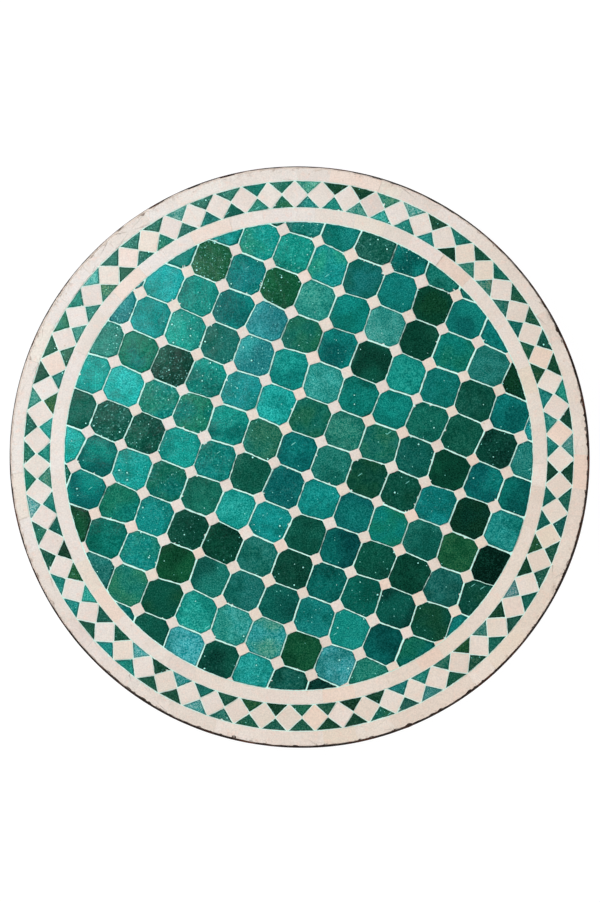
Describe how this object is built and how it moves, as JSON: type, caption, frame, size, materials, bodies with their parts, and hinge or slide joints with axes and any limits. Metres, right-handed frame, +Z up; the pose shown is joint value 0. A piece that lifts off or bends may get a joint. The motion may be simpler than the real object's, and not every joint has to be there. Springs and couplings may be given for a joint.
{
  "type": "mosaic table top",
  "caption": "Round zellige mosaic table top: green glazed octagons and triangles with ivory squares, diamonds and rings, bedded in mortar inside a thin iron hoop.",
  "frame": {"origin": "centre of the underside, on the plane that the hoop, the slab and the cross bars rest on", "axes": "+Z up out of the tiled face, +X and +Y to the right and to the top of the picture"},
  "size_m": [0.6, 0.6, 0.03],
  "materials": {
    "green_glaze": "glossy hand-made glaze, green to turquoise, each tile its own shade",
    "ivory_glaze": "satin hand-made glaze, warm ivory",
    "fine_mortar": "pale fine cement mortar",
    "coarse_mortar": "grey cement mortar, screeded",
    "dark_iron": "dark strip iron, worn and lightly rusted",
    "rod_iron": "plain drawn rod"
  },
  "bodies": {
    "root": {"rim_band": "dark_iron", "backing_slab": "coarse_mortar", "setting_bed": "fine_mortar", "cross_bar_long": "dark_iron", "cross_bar_short_1": "dark_iron", "cross_bar_short_2": "dark_iron", "rod_lengthwise_1": "rod_iron", "rod_lengthwise_2": "rod_iron", "rod_crosswise_1": "rod_iron", "rod_crosswise_2": "rod_iron", "outer_ring_tiles_1": "ivory_glaze", "outer_ring_tiles_2": "ivory_glaze", "outer_ring_tiles_3": "ivory_glaze", "border_outer_triangles_1": "green_glaze", "border_outer_triangles_2": "green_glaze", "border_outer_triangles_3": "green_glaze", "border_diamonds_1": "ivory_glaze", "border_diamonds_2": "ivory_glaze", "border_diamonds_3": "ivory_glaze", "border_inner_triangles_1": "green_glaze", "border_inner_triangles_2": "green_glaze", "border_inner_triangles_3": "green_glaze", "inner_ring_tiles_1": "ivory_glaze", "inner_ring_tiles_2": "ivory_glaze", "inner_ring_tiles_3": "ivory_glaze", "octagon_row_down_6": "green_glaze", "octagon_row_down_5": "green_glaze", "octagon_row_down_4": "green_glaze", "octagon_row_down_3": "green_glaze", "octagon_row_down_2": "green_glaze", "octagon_row_down_1": "green_glaze", "octagon_row_middle": "green_glaze", "octagon_row_up_1": "green_glaze", "octagon_row_up_2": "green_glaze", "octagon_row_up_3": "green_glaze", "octagon_row_up_4": "green_glaze", "octagon_row_up_5": "green_glaze", "octagon_row_up_6": "green_glaze", "square_row_down_5": "ivory_glaze", "square_row_down_4": "ivory_glaze", "square_row_down_3": "ivory_glaze", "square_row_down_2": "ivory_glaze", "square_row_down_1": "ivory_glaze", "square_row_middle": "ivory_glaze", "square_row_up_1": "ivory_glaze", "square_row_up_2": "ivory_glaze", "square_row_up_3": "ivory_glaze", "square_row_up_4": "ivory_glaze", "square_row_up_5": "ivory_glaze", "square_row_up_6": "ivory_glaze"}
  },
  "joints": []
}
